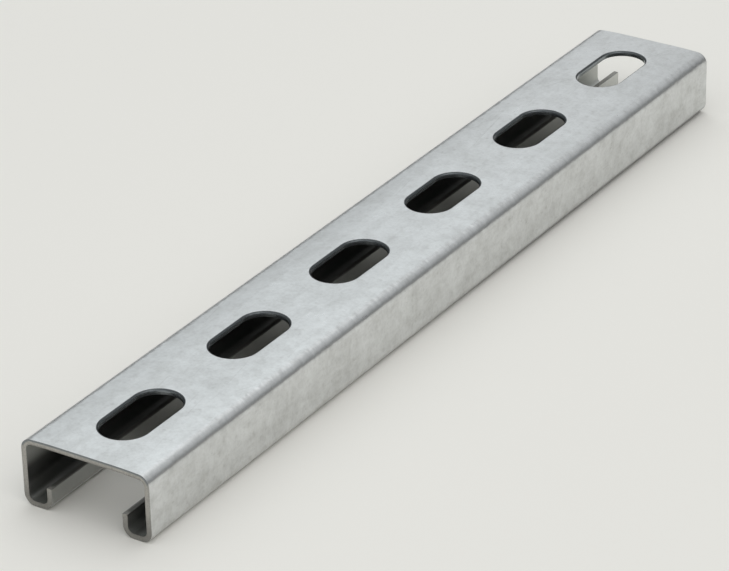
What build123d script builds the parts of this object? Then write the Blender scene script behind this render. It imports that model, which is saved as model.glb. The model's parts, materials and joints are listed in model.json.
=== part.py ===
from build123d import *
from math import floor
import os

# Strut channel: steel strip roll formed into a C with two inturned lips, slotted along its web.
# Millimetres. The length runs along X and the width along Y. The channel lies on its lips, with
# the bottoms of their bends at Z = 0, the mouth down and the slotted web up.

os.makedirs("parts", exist_ok=True)

# Strip and section
channel_length = 304.8      # 12 in
channel_width = 41.3        # over the two flanges, 1 5/8 in
channel_height = 20.6       # from the bottom of the lips to the back of the web, 13/16 in
sheet_thickness = 1.6       # 16 gauge with its zinc coat
inside_bend_radius = 1.8    # the same for all six bends
lip_width = 9.2             # from a flange's outer face to the edge of the mouth
lip_height = 6.8            # from the bottom of the lip to its cut edge

# Slots punched through the web
slot_length = 28.6          # 1 1/8 in
slot_width = 14.3           # 9/16 in
slot_pitch = 50.8           # 2 in; the first slot's centre is half a pitch from the end
slot_rim_radius = 0.35      # rolled-in edge that the punch leaves on the back of the web

# Ends
end_edge_radius = 0.25      # edge that the shear draws in, round the outside of both ends

# Derived
outside_bend_radius = inside_bend_radius + sheet_thickness
half_width = channel_width / 2
half_mouth = half_width - lip_width
slot_count = floor(channel_length / slot_pitch + 0.01)


def c_outline(inset):
    """Corners of the C as (y, z), closed across the mouth at the height of the lips' cut edges."""
    side = [
        (half_mouth + inset, lip_height),
        (half_mouth + inset, inset),
        (half_width - inset, inset),
        (half_width - inset, channel_height - inset),
    ]
    return side + [(-y, z) for y, z in reversed(side)]


with BuildPart() as channel:
    # Outside of the folded strip
    with BuildSketch(Plane.YZ) as outside:
        Polygon(*c_outline(0), align=None)
        corners = outside.vertices().group_by(Axis.Y)
        fillet(corners[0] + corners[-1], radius=outside_bend_radius)
    extrude(amount=channel_length / 2, both=True)

    # Hollow inside it, one sheet thickness in
    with BuildSketch(Plane.YZ) as hollow:
        Polygon(*c_outline(sheet_thickness), align=None)
        corners = hollow.vertices().group_by(Axis.Y)
        fillet(corners[0] + corners[-1], radius=inside_bend_radius)
    extrude(amount=channel_length / 2, both=True, mode=Mode.SUBTRACT)

    # Slots along the middle of the web
    with BuildSketch(Plane.XY.offset(channel_height)):
        with GridLocations(slot_pitch, 0, slot_count, 1):
            SlotOverall(slot_length, slot_width)
    extrude(amount=-2 * sheet_thickness, mode=Mode.SUBTRACT)
    web_back = channel.faces().sort_by(Axis.Z)[-1]
    fillet(web_back.inner_wires().edges(), radius=slot_rim_radius)

    # Drawn-in edge round the outside of both sheared ends, from one lip to the other
    web_back = channel.faces().sort_by(Axis.Z)[-1]
    fillet(web_back.outer_wire().edges().filter_by(Axis.Y), radius=end_edge_radius)

channel.part.label = "strut_channel"
export_step(channel.part, "parts/strut_channel.step")
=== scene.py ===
import json
import math

import bmesh
import bpy
from mathutils import Matrix, Vector


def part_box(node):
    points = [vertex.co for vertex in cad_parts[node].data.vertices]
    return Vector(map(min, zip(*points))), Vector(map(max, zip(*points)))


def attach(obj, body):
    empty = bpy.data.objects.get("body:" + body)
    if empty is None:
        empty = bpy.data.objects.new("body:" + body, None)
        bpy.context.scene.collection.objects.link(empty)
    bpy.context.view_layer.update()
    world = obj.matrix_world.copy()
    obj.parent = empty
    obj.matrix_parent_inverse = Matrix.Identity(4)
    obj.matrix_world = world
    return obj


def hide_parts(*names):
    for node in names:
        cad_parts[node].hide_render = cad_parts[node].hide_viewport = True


bl_info = {
    "name": "Strut Channel",
    "version": (1, 0, 0),
    "blender": (4, 5, 0),
    "location": "View3D > Sidebar > Strut Channel",
    "description": "Makes a slotted galvanised strut channel and a plain stage to show it on",
    "category": "Add Mesh",
}

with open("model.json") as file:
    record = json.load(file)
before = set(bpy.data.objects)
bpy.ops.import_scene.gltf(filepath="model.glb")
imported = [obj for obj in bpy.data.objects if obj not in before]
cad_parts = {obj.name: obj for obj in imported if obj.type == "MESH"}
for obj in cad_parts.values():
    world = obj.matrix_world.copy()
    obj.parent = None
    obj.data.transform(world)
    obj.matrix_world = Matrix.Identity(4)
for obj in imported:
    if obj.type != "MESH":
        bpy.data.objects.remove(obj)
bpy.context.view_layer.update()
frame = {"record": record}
NODE = "strut_channel"
MM = 0.001
NEAR = 0.01 * MM      # closer than this counts as touching


def mount(name):
    """The record's entry for one of the part's mounts."""
    for entry in frame["record"]["mounts"]:
        if entry["name"] == name:
            return entry
    raise ValueError(f"the record has no mount named {name}")


LOW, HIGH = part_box(NODE)
LENGTH = HIGH.x - LOW.x
WIDTH = HIGH.y - LOW.y
HEIGHT = HIGH.z - LOW.z
SLOTS_AT = mount("slots_inner_pair")["pos_m"]       # halfway through the web's sheet
SLOT_DIMS = mount("slots_inner_pair")["dims"]
SHEET = 2 * (HEIGHT - SLOTS_AT[2])
LIP_HEIGHT = mount("nut_track")["pos_m"][2]         # a nut slides along the lips' edges


# ---------------------------------------------------------------- what a user can change


def length_property(name, description, default):
    return bpy.props.FloatProperty(
        name=name, description=description, default=default, min=0.0, precision=5,
        subtype="DISTANCE", unit="LENGTH",
    )


def colour_property(name, description, default):
    return bpy.props.FloatVectorProperty(
        name=name, description=description, default=default, size=3, min=0.0, max=1.0,
        subtype="COLOR",
    )


def number_property(name, description, default, low=0.0, high=100.0):
    return bpy.props.FloatProperty(
        name=name, description=description, default=default, min=low, max=high
    )


def angle_property(name, description, degrees):
    return bpy.props.FloatProperty(
        name=name, description=description, default=math.radians(degrees),
        subtype="ANGLE", unit="ROTATION",
    )


class StrutChannelSizes(bpy.types.PropertyGroup):
    length: length_property("Length", "Length of the channel", LENGTH)
    width: length_property("Width", "Width over the two flanges", WIDTH)
    height: length_property("Height", "Height from the lips to the back of the web", HEIGHT)
    sheet: length_property("Sheet", "Thickness of the strip", SHEET)
    bend_radius: length_property("Bend radius", "Inside radius of all six bends", 1.8 * MM)
    lip_width: length_property(
        "Lip width", "From a flange's outer face to the edge of the mouth", 9.2 * MM
    )
    lip_height: length_property(
        "Lip height", "From the bottom of the lip to its cut edge", LIP_HEIGHT
    )
    slot_length: length_property(
        "Slot length", "Slot from end to end", SLOT_DIMS["slot_length_mm"] * MM
    )
    slot_width: length_property(
        "Slot width", "Slot from side to side", 2 * SLOT_DIMS["hole_r_mm"] * MM
    )
    slot_pitch: length_property(
        "Slot pitch", "From one slot's centre to the next", SLOT_DIMS["spacing_x_mm"] * MM
    )
    slot_rim: length_property(
        "Slot rim", "Radius of the rolled edge that the punch leaves", 0.65 * MM
    )
    end_rim: length_property(
        "End rim", "Radius of the edge that the shear draws in at both ends", 0.25 * MM
    )
    web_crown: length_property(
        "Web crown", "How far the web falls away toward its bends", 0.2 * MM
    )


class StrutChannelFinish(bpy.types.PropertyGroup):
    zinc: colour_property("Zinc", "Main colour of the zinc coat", (0.75, 0.765, 0.768))
    zinc_dull: colour_property(
        "Dull zinc", "Darker clouds in the zinc coat", (0.50, 0.505, 0.495)
    )
    # The inside colour is a painted shade, darker than the outside coat where little light reaches
    inside: colour_property(
        "Inside", "Zinc coat on the inside, dulled by roll oil", (0.38, 0.385, 0.37)
    )
    cut_steel: colour_property("Cut steel", "Torn part of the sheared ends", (0.52, 0.505, 0.47))
    punched_steel: colour_property(
        "Punched steel", "Walls that the punch leaves in the slots", (0.22, 0.24, 0.25)
    )
    roughness: number_property("Roughness", "Roughness of the zinc coat", 0.32, 0.0, 1.0)
    mottling: number_property("Mottling", "How strongly the zinc coat is clouded", 1.0, 0.0, 5.0)


class StrutStageSettings(bpy.types.PropertyGroup):
    floor_colour: colour_property("Floor", "Colour of the floor", (0.92, 0.90, 0.85))
    sky_level: number_property("Sky level", "Strength of the soft light from the sky", 1.0)
    azimuth: angle_property("Azimuth", "Where the camera stands round the channel", -56.73)
    elevation: angle_property("Elevation", "How far the camera stands above the floor", 27.83)
    roll: angle_property("Roll", "Tilt of the camera about its own line of sight", -1.347)
    distance: length_property("Distance", "From the camera to the point it looks at", 1.061)
    lens: number_property(
        "Lens", "Focal length in millimetres on a 36 mm sensor", 179.83, 1.0, 1000.0
    )


# ---------------------------------------------------------------- node trees


class Tree:
    """Adds nodes to a node tree and links them up."""

    def __init__(self, tree):
        self.tree = tree

    def feed(self, socket, value):
        if isinstance(value, bpy.types.NodeSocket):
            self.tree.links.new(value, socket)
        else:
            socket.default_value = value

    def node(self, kind, inputs=None, **settings):
        made = self.tree.nodes.new(kind)
        for name, value in settings.items():
            setattr(made, name, value)
        for key, value in (inputs or {}).items():
            self.feed(made.inputs[key], value)
        return made

    def maths(self, operation, *values):
        made = self.tree.nodes.new("ShaderNodeMath")
        made.operation = operation
        for socket, value in zip(made.inputs, values):
            self.feed(socket, value)
        return made.outputs[0]

    def product(self, first, *others):
        for other in others:
            first = self.maths("MULTIPLY", first, other)
        return first

    def combine(self, x=0.0, y=0.0, z=0.0):
        return self.node("ShaderNodeCombineXYZ", {0: x, 1: y, 2: z}).outputs[0]

    def separate(self, vector):
        return self.node("ShaderNodeSeparateXYZ", {0: vector}).outputs


class GeometryTree(Tree):
    """A Geometry Nodes tree with named inputs for its sizes."""

    def __init__(self, name, inputs):
        super().__init__(bpy.data.node_groups.new(name, "GeometryNodeTree"))
        sockets = self.tree.interface
        self.identifiers = {}
        for label, kind, default in inputs:
            item = sockets.new_socket(name=label, in_out="INPUT", socket_type=kind)
            if default is not None:
                item.default_value = default
            self.identifiers[label] = item.identifier
        sockets.new_socket(name="Geometry", in_out="OUTPUT", socket_type="NodeSocketGeometry")
        self.inputs = self.tree.nodes.new("NodeGroupInput").outputs
        self.result = self.tree.nodes.new("NodeGroupOutput").inputs["Geometry"]

    def pick(self, index, values):
        """The value whose place in the list is the index."""
        made = self.tree.nodes.new("GeometryNodeIndexSwitch")
        made.data_type = "FLOAT"
        while len(made.index_switch_items) < len(values):
            made.index_switch_items.new()
        self.feed(made.inputs["Index"], index)
        for number, value in enumerate(values):
            self.feed(made.inputs[number + 1], value)
        return made.outputs[0]

    def join(self, *parts):
        made = self.tree.nodes.new("GeometryNodeJoinGeometry")
        for part in parts:
            self.tree.links.new(part, made.inputs[0])
        return made.outputs[0]

    def compare(self, operation, a, b):
        return self.node("FunctionNodeCompare", {0: a, 1: b}, operation=operation).outputs[0]

    def both(self, a, b):
        return self.node("FunctionNodeBooleanMath", {0: a, 1: b}, operation="AND").outputs[0]

    def either(self, a, b):
        return self.node("FunctionNodeBooleanMath", {0: a, 1: b}, operation="OR").outputs[0]


CHANNEL_INPUTS = (
    "Length", "Width", "Height", "Sheet", "Bend Radius", "Lip Width", "Lip Height",
    "Slot Length", "Slot Width", "Slot Pitch", "Slot Rim", "Web Crown",
)
FINISH_INPUTS = ("Zinc", "Punched Steel", "Cut Steel")

# How finely the channel is drawn
BEND_STEPS = 12       # points round each bend
SLOT_SIDES = 98       # points round each slot
RIM_STEPS = 8         # rings down each slot's rolled rim
CROWN_STEPS = 5       # points across each side of the web's crown
END_RIM_STEPS = 4     # faces round the edge of each end
CUT_EDGE = 0.12 * MM  # radius that the slitter leaves on the lips' edges
SMOOTH_BELOW = math.radians(32)

# Fewer than this means that the channel didn't come out
FEWEST_FACES = 500
FEWEST_END_EDGES = 50

# The web's crown, as parts of the half width
CROWN_FROM = 0.42     # flat up to here
CROWN_TO = 0.8        # curved up to here, then straight
INNER_CORNER = 0.92   # where the inside of the top bend has its corner

# The punch and its row
PUNCH_BELOW = 2 * MM        # how far it reaches below the rolled rim
PUNCH_ABOVE = 1 * MM        # and above the back of the web
PUNCH_SINK = 0.001 * MM     # keeps the rim's widest ring off the web's own face
SPARE_PITCH = 0.01          # so that rounding never loses a slot

# What marks a face as bare steel
SLIT_REACH = 0.05 * MM      # height within which a face is a lip's slit edge
FACES_UP = 0.5              # least upward part of a slit edge's normal
LEVEL = 0.99                # upward part above which a face of the web is level


def crown_share(across):
    """Share of the crown's fall at a part of the half width: a curve, then straight to the bend."""
    rise = CROWN_TO - CROWN_FROM
    if across > CROWN_TO:
        return 1.0 + 2.0 * (across - CROWN_TO) / rise
    return (max(across - CROWN_FROM, 0.0) / rise) ** 2


def folded_section(tree, size):
    """The strip's folded outline as one closed curve, across in X and up in Y."""
    half = tree.maths("MULTIPLY", size["Width"], 0.5)
    mouth = tree.maths("SUBTRACT", half, size["Lip Width"])
    mouth_in = tree.maths("ADD", mouth, size["Sheet"])
    half_in = tree.maths("SUBTRACT", half, size["Sheet"])
    top_in = tree.maths("SUBTRACT", size["Height"], size["Sheet"])
    outer_radius = tree.maths("ADD", size["Bend Radius"], size["Sheet"])

    def crowned(middle, part):
        """The web's height at a part of the half width, from its height in the middle."""
        fall = tree.maths("MULTIPLY", size["Web Crown"], crown_share(part))
        return tree.maths("SUBTRACT", middle, fall)

    def other_side(values):
        return [tree.maths("MULTIPLY", value, -1.0) for value in reversed(values)]

    rise = CROWN_TO - CROWN_FROM
    parts = [CROWN_TO - rise * step / CROWN_STEPS for step in range(CROWN_STEPS + 1)]
    web = [tree.maths("MULTIPLY", half, part) for part in parts]
    outer_side = [mouth, mouth, half, half] + web
    inner_side = web[::-1] + [half_in, half_in, mouth_in, mouth_in]
    across = outer_side + other_side(outer_side) + other_side(inner_side) + inner_side

    outer_up = [size["Lip Height"], 0.0, 0.0, crowned(size["Height"], 1.0)]
    outer_up += [crowned(size["Height"], part) for part in parts]
    inner_up = [crowned(top_in, part) for part in reversed(parts)]
    inner_up += [crowned(top_in, INNER_CORNER), size["Sheet"], size["Sheet"], size["Lip Height"]]
    up = outer_up + outer_up[::-1] + inner_up[::-1] + inner_up

    outer_bends = [outer_radius] * 3
    inner_bends = [size["Bend Radius"]] * 3
    flat = [0.0] * (2 * len(web))
    radii = [CUT_EDGE] + outer_bends + flat + outer_bends + [CUT_EDGE]
    radii += [CUT_EDGE] + inner_bends + flat + inner_bends + [CUT_EDGE]

    index = tree.node("GeometryNodeInputIndex").outputs[0]
    ring = tree.node("GeometryNodeCurvePrimitiveCircle", {"Resolution": len(across)})
    place = tree.combine(tree.pick(index, across), tree.pick(index, up))
    corners = tree.node(
        "GeometryNodeSetPosition", {"Geometry": ring.outputs["Curve"], "Position": place}
    ).outputs[0]
    return tree.node(
        "GeometryNodeFilletCurve",
        {"Curve": corners, "Radius": tree.pick(index, radii), "Count": BEND_STEPS},
        mode="POLY",
    ).outputs[0]


def strip_along_length(tree, size, section):
    """The section filled and drawn out to the length, then laid along X."""
    end = tree.node("GeometryNodeFillCurve", {"Curve": section}, mode="NGONS").outputs[0]
    drawn = tree.node(
        "GeometryNodeExtrudeMesh",
        {
            "Mesh": end, "Offset": (0.0, 0.0, 1.0), "Offset Scale": size["Length"],
            "Individual": False,
        },
    ).outputs[0]
    flipped = tree.node("GeometryNodeFlipFaces", {"Mesh": end}).outputs[0]
    closed = tree.node(
        "GeometryNodeMergeByDistance", {"Geometry": tree.join(drawn, flipped), "Distance": 1e-6}
    ).outputs[0]
    quarter = math.radians(90)
    return tree.node(
        "GeometryNodeTransform",
        {
            "Geometry": closed,
            "Translation": tree.combine(tree.maths("MULTIPLY", size["Length"], -0.5)),
            "Rotation": (quarter, 0.0, quarter),
        },
    ).outputs[0]


def slot_punch(tree, size):
    """A round-ended punch that flares at the back of the web, where the rim rolls in."""
    rings = RIM_STEPS + 2
    blank = tree.node(
        "GeometryNodeMeshCylinder",
        {"Vertices": SLOT_SIDES, "Side Segments": rings, "Radius": 1.0, "Depth": 1.0},
    ).outputs["Mesh"]
    x, y, z = tree.separate(tree.node("GeometryNodeInputPosition").outputs[0])
    ring = tree.maths("ROUND", tree.maths("MULTIPLY", tree.maths("ADD", z, 0.5), float(rings)))
    turn = tree.maths("DIVIDE", tree.maths("SUBTRACT", ring, 1.0), float(RIM_STEPS))
    turn = tree.maths("MINIMUM", tree.maths("MAXIMUM", turn, 0.0), 1.0)
    turn = tree.maths("MULTIPLY", turn, math.pi / 2)
    flare = tree.maths(
        "MULTIPLY", size["Slot Rim"], tree.maths("SUBTRACT", 1.0, tree.maths("COSINE", turn))
    )
    depth = tree.maths(
        "MULTIPLY", size["Slot Rim"], tree.maths("SUBTRACT", tree.maths("SINE", turn), 1.0)
    )
    is_bottom = tree.maths("LESS_THAN", ring, 0.5)
    is_top = tree.maths("GREATER_THAN", ring, rings - 0.5)
    height = tree.maths("SUBTRACT", depth, tree.maths("MULTIPLY", is_bottom, PUNCH_BELOW))
    height = tree.maths("ADD", height, tree.maths("MULTIPLY", is_top, PUNCH_ABOVE))
    height = tree.maths("SUBTRACT", height, PUNCH_SINK)
    radius = tree.maths("ADD", tree.maths("MULTIPLY", size["Slot Width"], 0.5), flare)
    straight = tree.maths(
        "MULTIPLY", tree.maths("SUBTRACT", size["Slot Length"], size["Slot Width"]), 0.5
    )
    along = tree.maths(
        "ADD",
        tree.maths("MULTIPLY", x, radius),
        tree.maths("MULTIPLY", tree.maths("SIGN", x), straight),
    )
    place = tree.combine(along, tree.maths("MULTIPLY", y, radius), height)
    return tree.node("GeometryNodeSetPosition", {"Geometry": blank, "Position": place}).outputs[0]


def row_of_punches(tree, size):
    """As many punches as whole pitches fit in the length, centred on it."""
    ratio = tree.maths("DIVIDE", size["Length"], size["Slot Pitch"])
    count = tree.maths("FLOOR", tree.maths("ADD", ratio, SPARE_PITCH))
    reach = tree.maths("MULTIPLY", tree.maths("SUBTRACT", count, 1.0), -0.5)
    places = tree.node(
        "GeometryNodeMeshLine",
        {
            "Count": count,
            "Start Location": tree.combine(
                tree.maths("MULTIPLY", reach, size["Slot Pitch"]), 0.0, size["Height"]
            ),
            "Offset": tree.combine(size["Slot Pitch"]),
        },
        mode="OFFSET",
    ).outputs[0]
    set_out = tree.node(
        "GeometryNodeInstanceOnPoints", {"Points": places, "Instance": slot_punch(tree, size)}
    ).outputs[0]
    return tree.node("GeometryNodeRealizeInstances", {"Geometry": set_out}).outputs[0]


def cut_faces(tree, size):
    """Faces of bare steel: the slots' walls and rims, and both ends with the lips' slit edges."""
    x, y, z = tree.separate(tree.node("GeometryNodeInputPosition").outputs[0])
    normal_z = tree.separate(tree.node("GeometryNodeInputNormal").outputs[0])[2]
    end = tree.maths("SUBTRACT", tree.maths("MULTIPLY", size["Length"], 0.5), NEAR)
    at_end = tree.compare("GREATER_THAN", tree.maths("ABSOLUTE", x), end)
    off_lip_top = tree.maths("ABSOLUTE", tree.maths("SUBTRACT", z, size["Lip Height"]))
    slit = tree.both(
        tree.compare("LESS_THAN", off_lip_top, SLIT_REACH),
        tree.compare("GREATER_THAN", normal_z, FACES_UP),
    )
    side = tree.maths("ADD", tree.maths("MULTIPLY", size["Slot Width"], 0.5), size["Slot Rim"])
    in_row = tree.compare("LESS_THAN", tree.maths("ABSOLUTE", y), side)
    not_level = tree.compare("LESS_THAN", tree.maths("ABSOLUTE", normal_z), LEVEL)
    below_web = tree.maths("SUBTRACT", size["Height"], tree.maths("MULTIPLY", size["Sheet"], 1.5))
    high = tree.compare("GREATER_THAN", z, below_web)
    wall = tree.both(tree.both(in_row, not_level), high)
    return wall, tree.either(at_end, slit)


def channel_tree():
    inputs = [(name, "NodeSocketFloat", 0.01) for name in CHANNEL_INPUTS]
    inputs += [(name, "NodeSocketMaterial", None) for name in FINISH_INPUTS]
    tree = GeometryTree("slotted_strut_channel", inputs)
    size = tree.inputs
    strip = strip_along_length(tree, size, folded_section(tree, size))
    punched = tree.node("GeometryNodeMeshBoolean", operation="DIFFERENCE", solver="EXACT")
    tree.feed(punched.inputs["Mesh 1"], strip)
    tree.feed(punched.inputs["Mesh 2"], row_of_punches(tree, size))
    result = tree.node(
        "GeometryNodeRealizeInstances", {"Geometry": punched.outputs["Mesh"]}
    ).outputs[0]
    walls, sheared = cut_faces(tree, size)
    for name, where in zip(FINISH_INPUTS, (True, walls, sheared)):
        result = tree.node(
            "GeometryNodeSetMaterial",
            {"Geometry": result, "Selection": where, "Material": size[name]},
        ).outputs[0]
    tree.feed(tree.result, result)
    return tree


# ---------------------------------------------------------------- finishes


class MaterialTree(Tree):
    """A material whose patterns read Object coordinates, in metres."""

    def __init__(self, name):
        self.material = bpy.data.materials.new(name)
        self.material.use_nodes = True
        super().__init__(self.material.node_tree)
        self.tree.nodes.clear()
        self.shader = self.node("ShaderNodeBsdfPrincipled")
        output = self.node("ShaderNodeOutputMaterial", {"Surface": self.shader.outputs[0]})
        output.is_active_output = True
        self.place = self.node("ShaderNodeTexCoord").outputs["Object"]

    def scaled(self, x, y, z):
        return self.node("ShaderNodeMapping", {"Vector": self.place, "Scale": (x, y, z)}).outputs[0]

    def noise(self, scale, detail=2.0, roughness=0.5, vector=None, distortion=0.0):
        return self.node(
            "ShaderNodeTexNoise",
            {
                "Vector": vector or self.place, "Scale": scale, "Detail": detail,
                "Roughness": roughness, "Distortion": distortion,
            },
        ).outputs["Fac"]

    def span(self, value, low, high, to_low=0.0, to_high=1.0):
        """A smooth step between two results, as the value goes from low to high."""
        return self.node(
            "ShaderNodeMapRange",
            {
                "Value": value, "From Min": low, "From Max": high,
                "To Min": to_low, "To Max": to_high,
            },
            interpolation_type="SMOOTHSTEP",
        ).outputs[0]

    def fade(self, value, low, high):
        """One below low and nothing above high."""
        return self.span(value, low, high, 1.0, 0.0)

    def blend(self, factor, a, b):
        made = self.node("ShaderNodeMix", data_type="RGBA", blend_type="MIX")
        self.feed(made.inputs["Factor"], factor)
        self.feed(made.inputs[6], a)
        self.feed(made.inputs[7], b)
        return made.outputs[2]

    def bump(self, height, distance, strength, normal=None):
        inputs = {"Height": height, "Distance": distance, "Strength": strength}
        if normal is not None:
            inputs["Normal"] = normal
        return self.node("ShaderNodeBump", inputs).outputs[0]


def rgba(colour, share=1.0):
    """A colour, or a darker or lighter tone of it, with full alpha."""
    return (*(share * part for part in colour), 1.0)


def skin_depth(tree, sizes):
    """How far a point lies under the outside of the folded strip."""
    half, radius = sizes.width / 2, sizes.bend_radius + sizes.sheet
    _, y, z = tree.separate(tree.place)
    across = tree.maths("ABSOLUTE", y)
    past = tree.maths("MAXIMUM", tree.maths("SUBTRACT", across, CROWN_FROM * half), 0.0)
    past = tree.maths("DIVIDE", past, (CROWN_TO - CROWN_FROM) * half)
    fall = tree.product(past, past, sizes.web_crown)

    def depth_in_corner(side, end):
        """Depth in a quarter-round corner, from how far the point is past its centre each way."""
        away = tree.combine(tree.maths("MAXIMUM", side, 0.0), tree.maths("MAXIMUM", end, 0.0))
        length = tree.node("ShaderNodeVectorMath", {0: away}, operation="LENGTH").outputs["Value"]
        short = tree.maths("MINIMUM", tree.maths("MAXIMUM", side, end), 0.0)
        return tree.maths("SUBTRACT", tree.maths("SUBTRACT", radius, length), short)

    web = depth_in_corner(
        tree.maths("SUBTRACT", across, half - radius),
        tree.maths("SUBTRACT", tree.maths("ADD", z, fall), sizes.height - radius),
    )
    middle = half - sizes.lip_width / 2
    off_middle = tree.maths("ABSOLUTE", tree.maths("SUBTRACT", across, middle))
    lip = depth_in_corner(
        tree.maths("SUBTRACT", off_middle, sizes.lip_width / 2 - radius),
        tree.maths("SUBTRACT", radius, z),
    )
    above_lip = tree.maths("GREATER_THAN", z, sizes.lip_height + 2 * NEAR)
    return tree.maths("MINIMUM", web, tree.maths("ADD", lip, above_lip))


def specks(tree, scale, share, size):
    """Round spots in a share of the cells of a random grid."""
    cells = tree.node("ShaderNodeTexVoronoi", {"Vector": tree.place, "Scale": scale}, feature="F1")
    drawn = tree.maths("LESS_THAN", tree.separate(cells.outputs["Color"])[0], share)
    return tree.product(drawn, tree.fade(cells.outputs["Distance"], 0.3 * size, size))


def scratches(tree, turn, scale, level):
    """Thin straight marks that lie at an angle to the length."""
    turned = tree.node(
        "ShaderNodeMapping", {"Vector": tree.place, "Rotation": (0.0, 0.0, math.radians(turn))}
    ).outputs[0]
    drawn_out = tree.node("ShaderNodeMapping", {"Vector": turned, "Scale": scale}).outputs[0]
    return tree.span(tree.noise(1.0, 1.0, 0.5, vector=drawn_out), level, level + 0.06)


# Share of each kind of mark in how dull the zinc is; the share for the low flanges is painted shade
DULLING = {
    "clouds": 0.30,
    "wide clouds": 0.18,
    "streaks": 0.12,
    "grain": 0.17,
    "specks": 0.18,
    "scratches": 0.22,
    "low half of the flanges": 0.10,
    "blotches on the flanges": 0.20,
}

# Stretches over which a finish, or its painted light and shade, changes, each as two distances from
# an end
SHELTERED = (18 * MM, 3 * MM)
OUTER = (30 * MM, 12 * MM)
LIT_FAR_END = (30 * MM, 20 * MM)
SLIT_START = (2.5 * MM, 0.4 * MM)

# The same as two heights above the floor
# Heights of the painted shade on the near lower bend
SHADED_BEND = (1.2 * MM, 2.8 * MM)
LIP_POCKET = (4 * MM, 9 * MM)
FLANGE_SHADE_FROM = (5 * MM, 8 * MM)
FLANGE_SHADE_TO = (10.5 * MM, 14 * MM)
LIT_TOP = (11 * MM, 16 * MM)

# The top bend, as two distances from the outside, across and down
BEND_ACROSS = (3.6 * MM, 2.6 * MM)
BEND_DOWN = (4.2 * MM, 3.2 * MM)


def toward_end(tree, along, sizes, stretch):
    """Nothing in the middle, and one past a stretch near the end."""
    end = sizes.length / 2
    return tree.span(along, end - stretch[0], end - stretch[1])


def away_from_end(tree, along, sizes, stretch):
    """One in the middle, and nothing past a stretch near the end."""
    end = sizes.length / 2
    return tree.fade(along, end - stretch[0], end - stretch[1])


def zinc_dullness(tree, look, sizes, clouds, grain):
    """How dull the coat is from place to place: the sum of all its marks, with painted shade on the
    low half of the flanges.
    """
    _, y, z = tree.separate(tree.place)
    wide = tree.noise(70.0, 2.0, 0.5)
    streaks = tree.noise(1.0, 3.0, 0.6, vector=tree.scaled(60.0, 500.0, 500.0))
    scuffs = tree.maths(
        "ADD",
        scratches(tree, 24.0, (45.0, 1500.0, 900.0), 0.72),
        scratches(tree, -9.0, (30.0, 1700.0, 900.0), 0.72),
    )
    on_flange = tree.maths("GREATER_THAN", tree.maths("ABSOLUTE", y), sizes.width / 2 - 0.5 * MM)
    blotches = tree.span(tree.noise(190.0, 3.0, 0.55, distortion=0.6), 0.38, 0.68)
    # Painted shade: the low half of the flanges is darker, below a wavy line
    waver = tree.product(tree.maths("SUBTRACT", tree.noise(150.0, 3.0, 0.6), 0.5), 9 * MM)
    low_half_shade = tree.fade(tree.maths("ADD", z, waver), 0.36 * sizes.height, 0.48 * sizes.height)
    marks = {
        "clouds": tree.span(clouds, 0.35, 0.75),
        "wide clouds": tree.span(wide, 0.3, 0.7),
        "streaks": tree.span(streaks, 0.4, 0.7),
        "grain": tree.span(grain, 0.35, 0.7),
        "specks": specks(tree, 520.0, 0.22, 0.42),
        "scratches": scuffs,
        "low half of the flanges": tree.product(on_flange, low_half_shade),
        "blotches on the flanges": tree.product(on_flange, blotches),
    }
    dull = 0.0
    for name, mark in marks.items():
        dull = tree.maths("ADD", tree.product(mark, DULLING[name] * look.mottling), dull)
    return dull


def outside_zinc(tree, look, sizes, dull):
    """Colour of the outside, with painted shade on the near lower bend that deepens along the
    length.
    """
    x, y, z = tree.separate(tree.place)
    reach = 0.6 * sizes.length / 2
    # Painted shade on the near lower bend, growing toward the far end
    bend_shade = tree.product(
        tree.maths("LESS_THAN", y, 0.0), tree.span(x, -reach, reach), tree.fade(z, *SHADED_BEND)
    )
    colour = tree.blend(dull, rgba(look.zinc), rgba(look.zinc_dull))
    return tree.blend(bend_shade, colour, rgba(look.zinc, 0.3))


def inside_zinc(tree, look, sizes, inner, sheltered):
    """Colour of the inside, painted shade throughout: deeper in the lips and low on the flanges
    near the ends, with painted light high on the flanges near the ends and at the far end.
    """
    x, _, z = tree.separate(tree.place)
    outer = toward_end(tree, tree.maths("ABSOLUTE", x), sizes, OUTER)
    in_lips = tree.product(
        tree.fade(z, *LIP_POCKET), tree.maths("MULTIPLY_ADD", sheltered, 0.7, 0.3)
    )
    on_flange = tree.product(
        outer, tree.span(z, *FLANGE_SHADE_FROM), tree.fade(z, *FLANGE_SHADE_TO)
    )
    deeper_shade = tree.product(inner, tree.maths("MAXIMUM", in_lips, on_flange))
    colour = tree.blend(deeper_shade, rgba(look.inside), rgba(look.inside, 0.5))
    painted_light = tree.maths(
        "MAXIMUM",
        tree.product(outer, tree.span(z, *LIT_TOP)),
        toward_end(tree, x, sizes, LIT_FAR_END),
    )
    return tree.blend(painted_light, colour, rgba(look.inside, 1.7))


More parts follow.
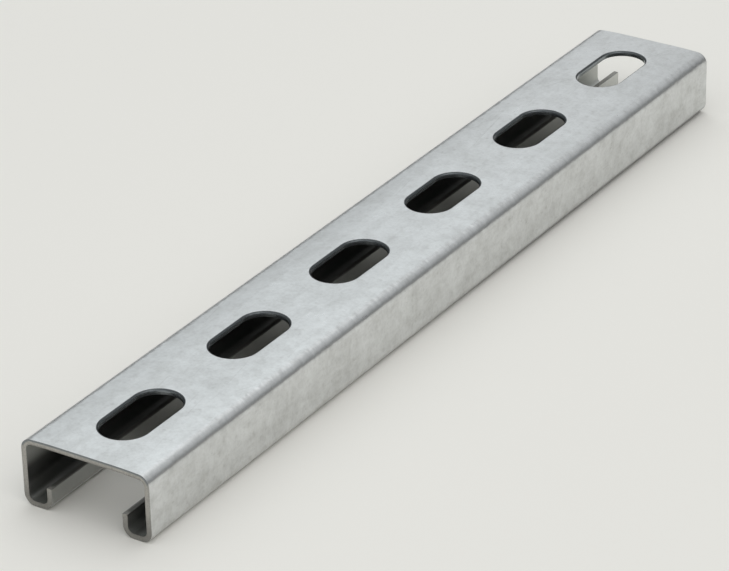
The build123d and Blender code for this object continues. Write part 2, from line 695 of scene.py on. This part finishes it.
def zinc_material(look, sizes):
    """Galvanised strip: mottled outside, rougher inside with painted shade, rippled on the top
    bends.
    """
    tree = MaterialTree("galvanised_zinc")
    x, y, z = tree.separate(tree.place)
    half = sizes.width / 2
    across = tree.maths("ABSOLUTE", y)
    clouds = tree.noise(260.0, 4.0, 0.62, distortion=0.3)
    grain = tree.noise(1100.0, 2.0, 0.6)
    dull = zinc_dullness(tree, look, sizes, clouds, grain)

    inner = tree.span(skin_depth(tree, sizes), 0.3 * sizes.sheet, 0.7 * sizes.sheet)
    facing_mouth = tree.product(
        tree.maths("LESS_THAN", across, half - sizes.lip_width + 0.3 * MM),
        tree.maths("LESS_THAN", z, sizes.lip_height),
    )
    sheltered = away_from_end(tree, tree.maths("ABSOLUTE", x), sizes, SHELTERED)
    # Painted shade: the inside and the lips' faces toward the mouth take the darker inside colour
    shaded_inside = tree.maths("MAXIMUM", inner, tree.product(facing_mouth, 0.85))
    inside = inside_zinc(tree, look, sizes, inner, sheltered)
    colour = tree.blend(shaded_inside, outside_zinc(tree, look, sizes, dull), inside)
    tree.feed(tree.shader.inputs["Base Color"], colour)
    tree.feed(tree.shader.inputs["Metallic"], 1.0)

    rough = tree.maths("MULTIPLY_ADD", dull, 0.12, look.roughness - 0.05)
    inner_sheltered = tree.product(inner, sheltered)
    pocket = tree.product(inner_sheltered, tree.fade(z, *LIP_POCKET))
    for where, amount in ((inner, 0.22), (inner_sheltered, -0.12), (pocket, 0.25)):
        rough = tree.maths("MULTIPLY_ADD", where, amount, rough)
    tree.feed(tree.shader.inputs["Roughness"], rough)

    top = sizes.height
    on_bend = tree.product(
        tree.span(across, half - BEND_ACROSS[0], half - BEND_ACROSS[1]),
        tree.span(z, top - BEND_DOWN[0], top - BEND_DOWN[1]),
    )
    ripples = tree.noise(1.0, 3.0, 0.6, vector=tree.scaled(420.0, 160.0, 160.0))
    ripples = tree.product(tree.maths("SUBTRACT", ripples, 0.5), on_bend)
    normal = tree.bump(grain, 0.02 * MM, 0.5)
    normal = tree.bump(ripples, 0.4 * MM, 0.5, normal)
    normal = tree.bump(clouds, 0.12 * MM, 0.5, normal)
    tree.feed(tree.shader.inputs["Normal"], normal)
    return tree.material


def cut_steel_material(look, sizes):
    """Bare steel of the sheared ends and of the lips' slit edges: dark parts, painted shade low
    down and on the slit edges, painted reflection in the burnished band.
    """
    tree = MaterialTree("cut_steel")
    x, _, z = tree.separate(tree.place)
    depth = skin_depth(tree, sizes)
    steel = look.cut_steel
    grain = tree.noise(2200.0, 3.0, 0.6)
    patches = tree.noise(180.0, 2.0, 0.5)
    colour = tree.blend(tree.span(grain, 0.35, 0.7), rgba(steel), rgba(steel, 0.8))
    colour = tree.blend(tree.span(patches, 0.35, 0.7, 0.0, 0.5), colour, rgba(steel, 0.75))

    top, sheet = sizes.height, sizes.sheet
    on_web = tree.span(z, top - 2.2 * sheet, top - 1.2 * sheet)
    inner_edge = tree.product(
        tree.span(depth, 0.6 * sheet, sheet), tree.maths("MULTIPLY_ADD", on_web, 0.45, 0.15)
    )
    # Painted shade: the cut steel darkens toward the floor
    low = tree.span(z, 0.05 * top, 0.6 * top, 0.72, 0.0)
    colour = tree.blend(tree.maths("ADD", inner_edge, low), colour, rgba(steel, 0.46))

    # The burnished band of the shear is real; its dark colour, strongest on the web, is a painted
    # dark reflection
    burnished_dark_reflection = tree.product(
        tree.fade(depth, 0.25 * sheet, 0.45 * sheet), tree.maths("MULTIPLY_ADD", on_web, 0.8, 0.12)
    )
    colour = tree.blend(burnished_dark_reflection, colour, rgba(look.punched_steel))

    # Painted shade on the lips' slit edges inside the channel, left out right at each end and
    # toward the far end, where painted light stays
    slit = tree.product(
        away_from_end(tree, tree.maths("ABSOLUTE", x), sizes, SLIT_START),
        away_from_end(tree, x, sizes, LIT_FAR_END),
        tree.span(depth, 0.12 * sheet, 0.4 * sheet, 0.25, 1.0),
    )
    colour = tree.blend(slit, colour, rgba(steel, 0.3))
    tree.feed(tree.shader.inputs["Base Color"], colour)
    tree.feed(tree.shader.inputs["Metallic"], 0.7)
    tree.feed(tree.shader.inputs["Roughness"], tree.span(grain, 0.3, 0.7, 0.45, 0.62))
    tree.feed(tree.shader.inputs["Normal"], tree.bump(grain, 0.05 * MM, 0.4))
    return tree.material


def punched_steel_material(look, sizes):
    """Slot walls: dark round the rolled rim, smeared brighter below it, then torn and smoother."""
    tree = MaterialTree("punched_steel")
    depth = skin_depth(tree, sizes)
    steel, sheet = look.punched_steel, sizes.sheet
    grain = tree.noise(1500.0, 2.0, 0.6)
    torn = tree.span(depth, 0.45 * sheet, 0.7 * sheet)
    colour = tree.blend(
        tree.span(depth, 0.12 * sheet, 0.3 * sheet), rgba(steel, 0.4), rgba(steel, 1.6)
    )
    colour = tree.blend(torn, colour, rgba(steel))
    colour = tree.blend(tree.span(grain, 0.4, 0.8, 0.0, 0.5), colour, rgba(steel, 0.35))
    tree.feed(tree.shader.inputs["Base Color"], colour)
    tree.feed(tree.shader.inputs["Metallic"], 0.8)
    tree.feed(tree.shader.inputs["Roughness"], tree.span(torn, 0.0, 1.0, 0.3, 0.18))
    tree.feed(tree.shader.inputs["Normal"], tree.bump(grain, 0.03 * MM, 0.4))
    return tree.material


# ---------------------------------------------------------------- channel


def run_tree(name, tree, values):
    """The tree's result as a plain mesh object, with no modifier left on it."""
    carrier = bpy.data.objects.new(f"{name}_carrier", bpy.data.meshes.new(f"{name}_carrier"))
    bpy.context.scene.collection.objects.link(carrier)
    modifier = carrier.modifiers.new("build", "NODES")
    modifier.node_group = tree.tree
    for label, value in values.items():
        modifier[tree.identifiers[label]] = value
    carrier.update_tag()
    graph = bpy.context.evaluated_depsgraph_get()
    graph.update()
    mesh = bpy.data.meshes.new_from_object(
        carrier.evaluated_get(graph), preserve_all_data_layers=True, depsgraph=graph
    )
    bpy.data.objects.remove(carrier)
    if mesh.materials[0] is None:
        mesh.materials.pop(index=0)
    mesh.name = name
    made = bpy.data.objects.new(name, mesh)
    bpy.context.scene.collection.objects.link(made)
    return made


def draw_in_ends(mesh, sizes):
    """Rounds the outside edge of both ends, and returns how many edges that took."""
    half, radius = sizes.width / 2, sizes.bend_radius + sizes.sheet
    middle = half - sizes.lip_width / 2

    def depth_in_corner(side, end):
        return radius - math.hypot(max(side, 0.0), max(end, 0.0)) - min(max(side, end), 0.0)

    def on_outside(point):
        across, up = abs(point.y), point.z
        web = depth_in_corner(across - (half - radius), up - (sizes.height - radius))
        if up > sizes.lip_height:
            return web < 0.5 * sizes.sheet
        if across < middle and up > sizes.lip_height - CUT_EDGE + NEAR:
            return False
        lip = depth_in_corner(abs(across - middle) - (sizes.lip_width / 2 - radius), radius - up)
        return min(web, lip) < 0.5 * sizes.sheet

    def at_end(point):
        return abs(abs(point.x) - sizes.length / 2) < NEAR

    work = bmesh.new()
    work.from_mesh(mesh)
    edges = [
        edge
        for edge in work.edges
        if all(at_end(corner.co) and on_outside(corner.co) for corner in edge.verts)
        and len(edge.link_faces) == 2
        and any(abs(face.normal.x) < 0.5 for face in edge.link_faces)
    ]
    bmesh.ops.bevel(
        work, geom=edges, offset=sizes.end_rim, offset_type="OFFSET", segments=END_RIM_STEPS,
        profile=0.5, affect="EDGES", clamp_overlap=True,
        material=mesh.materials.find("cut_steel"),
    )
    work.to_mesh(mesh)
    work.free()
    return len(edges)


def smooth_shaded(made):
    """Smooth bends and rims between flat faces that stay flat."""
    made.data.shade_smooth()
    made.data.set_sharp_from_angle(angle=SMOOTH_BELOW)
    modifier = made.modifiers.new("weighted", "WEIGHTED_NORMAL")
    modifier.keep_sharp = True
    modifier.weight = 50
    graph = bpy.context.evaluated_depsgraph_get()
    graph.update()
    mesh = bpy.data.meshes.new_from_object(
        made.evaluated_get(graph), preserve_all_data_layers=True, depsgraph=graph
    )
    made.modifiers.clear()
    old = made.data
    made.data = mesh
    mesh.name = made.name
    bpy.data.meshes.remove(old)


class STRUT_OT_channel(bpy.types.Operator):
    """Make the slotted channel, folded from one strip of galvanised steel"""

    bl_idname = "strut.channel"
    bl_label = "Make Channel"

    def execute(self, context):
        sizes = context.scene.strut_sizes
        look = context.scene.strut_finish
        values = {name: getattr(sizes, name.lower().replace(" ", "_")) for name in CHANNEL_INPUTS}
        makers = (zinc_material, punched_steel_material, cut_steel_material)
        values.update({name: make(look, sizes) for name, make in zip(FINISH_INPUTS, makers)})
        channel = run_tree("channel", channel_tree(), values)
        if len(channel.data.polygons) < FEWEST_FACES:
            raise RuntimeError("the channel's mesh came out empty")
        if draw_in_ends(channel.data, sizes) < FEWEST_END_EDGES:
            raise RuntimeError("the channel's end edges weren't found")
        smooth_shaded(channel)
        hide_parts(NODE)
        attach(channel, "root")
        return {"FINISHED"}


# ---------------------------------------------------------------- stage


# How bright the sky is at each height, from 0 at the horizon to 1 overhead
SKY_STEPS = (
    (0.0, 0.10), (0.1, 0.14), (0.26, 0.26), (0.38, 0.38), (0.5, 0.57), (0.6, 0.61), (0.67, 0.63),
    (0.73, 0.71), (0.8, 0.86), (0.9, 1.08), (1.0, 1.18),
)
SKY_TINT = (0.97, 0.99, 1.0)

# Name, colour, power, size and place of each lamp
LAMPS = (
    ("key_softbox", (1.0, 1.0, 1.0), 0.24, (0.45, 0.45), (0.78, 0.02, 1.04)),
    ("back_softbox", (0.92, 0.985, 1.0), 1.7, (1.3, 0.9), (0.79, 0.94, 1.10)),
    ("low_softbox", (0.98, 0.99, 1.0), 0.24, (0.5, 0.4), (1.31, 0.58, 0.44)),
    ("fill_softbox", (1.0, 0.99, 0.97), 2.95, (1.2, 1.2), (-0.35, -0.95, 0.95)),
)
CAMERA_AIM = Vector((-8.5 * MM, 6.2 * MM, 3.3 * MM))    # the point that the camera looks at
SENSOR_WIDTH = 36.0     # millimetres
FLOOR_REACH = 6.0       # metres from the middle to each side


def lamp(name, colour, power, size, place):
    """A soft rectangular lamp that faces the floor under the middle of the channel."""
    light = bpy.data.lights.new(name, "AREA")
    light.shape = "RECTANGLE"
    light.size, light.size_y = size
    light.energy = power
    light.color = colour
    made = bpy.data.objects.new(name, light)
    bpy.context.scene.collection.objects.link(made)
    made.location = place
    made.rotation_euler = Vector(place).to_track_quat("Z", "Y").to_euler()


def floor_piece(stage):
    """A wide matt floor under the lips, with the faintest clouds in its paint."""
    reach = FLOOR_REACH
    corners = [(-reach, -reach), (reach, -reach), (reach, reach), (-reach, reach)]
    mesh = bpy.data.meshes.new("floor")
    mesh.from_pydata([(x, y, LOW.z) for x, y in corners], [], [(0, 1, 2, 3)])
    tree = MaterialTree("floor_paint")
    paint = stage.floor_colour
    colour = tree.blend(tree.noise(3.0, 2.0), rgba(paint), rgba(paint, 0.97))
    tree.feed(tree.shader.inputs["Base Color"], colour)
    tree.feed(tree.shader.inputs["Roughness"], 0.9)
    tree.feed(tree.shader.inputs["Specular IOR Level"], 0.2)
    mesh.materials.append(tree.material)
    made = bpy.data.objects.new("floor", mesh)
    bpy.context.scene.collection.objects.link(made)


def camera_from(stage):
    """A camera on a sphere round the point it looks at."""
    e, a = stage.elevation, stage.azimuth
    back = Vector((math.sin(a) * math.cos(e), -math.cos(a) * math.cos(e), math.sin(e)))
    right = Vector((math.cos(a), math.sin(a), 0.0))
    up = back.cross(right)
    turn = Matrix.Rotation(stage.roll, 3, back)
    facing = Matrix((turn @ right, turn @ up, back)).transposed()
    data = bpy.data.cameras.new("camera")
    data.lens = stage.lens
    data.sensor_width = SENSOR_WIDTH
    data.clip_start = 0.05
    data.clip_end = 50.0
    made = bpy.data.objects.new("camera", data)
    bpy.context.scene.collection.objects.link(made)
    place = CAMERA_AIM + back * stage.distance
    made.matrix_world = Matrix.Translation(place) @ facing.to_4x4()
    bpy.context.scene.camera = made


def sky_from(stage):
    """A soft sky, dim at the horizon and bright overhead."""
    world = bpy.data.worlds.new("studio")
    world.use_nodes = True
    world.node_tree.nodes.clear()
    tree = Tree(world.node_tree)
    place = tree.node("ShaderNodeTexCoord").outputs["Generated"]
    ramp = tree.node("ShaderNodeValToRGB", {"Fac": tree.separate(place)[2]})
    stops = ramp.color_ramp.elements
    while len(stops) < len(SKY_STEPS):
        stops.new(1.0)
    for stop, (height, level) in zip(stops, SKY_STEPS):
        stop.position = height
        stop.color = rgba(SKY_TINT, level)
    sky = tree.node(
        "ShaderNodeBackground", {"Color": ramp.outputs["Color"], "Strength": stage.sky_level}
    )
    tree.node("ShaderNodeOutputWorld", {"Surface": sky.outputs[0]})
    bpy.context.scene.world = world


class STRUT_OT_stage(bpy.types.Operator):
    """Make the floor, the soft lamps and the camera"""

    bl_idname = "strut.stage"
    bl_label = "Make Stage"

    def execute(self, context):
        stage = context.scene.strut_stage
        floor_piece(stage)
        sky_from(stage)
        for settings in LAMPS:
            lamp(*settings)
        camera_from(stage)
        context.scene.view_settings.view_transform = "Standard"
        return {"FINISHED"}


# ---------------------------------------------------------------- panel and registration


class STRUT_PT_panel(bpy.types.Panel):
    bl_label = "Strut Channel"
    bl_idname = "STRUT_PT_panel"
    bl_space_type = "VIEW_3D"
    bl_region_type = "UI"
    bl_category = "Strut Channel"

    def draw(self, context):
        layout = self.layout
        for group, operator in (
            (context.scene.strut_sizes, None),
            (context.scene.strut_finish, STRUT_OT_channel.bl_idname),
            (context.scene.strut_stage, STRUT_OT_stage.bl_idname),
        ):
            box = layout.box()
            for name in group.__annotations__:
                box.prop(group, name)
            if operator:
                box.operator(operator)


CLASSES = (
    StrutChannelSizes, StrutChannelFinish, StrutStageSettings,
    STRUT_OT_channel, STRUT_OT_stage, STRUT_PT_panel,
)


def register():
    for made in CLASSES:
        bpy.utils.register_class(made)
    bpy.types.Scene.strut_sizes = bpy.props.PointerProperty(type=StrutChannelSizes)
    bpy.types.Scene.strut_finish = bpy.props.PointerProperty(type=StrutChannelFinish)
    bpy.types.Scene.strut_stage = bpy.props.PointerProperty(type=StrutStageSettings)


def unregister():
    del bpy.types.Scene.strut_stage
    del bpy.types.Scene.strut_finish
    del bpy.types.Scene.strut_sizes
    for made in reversed(CLASSES):
        bpy.utils.unregister_class(made)


def main():
    register()
    bpy.ops.strut.channel()
    bpy.ops.strut.stage()


if __name__ == "__main__":
    main()
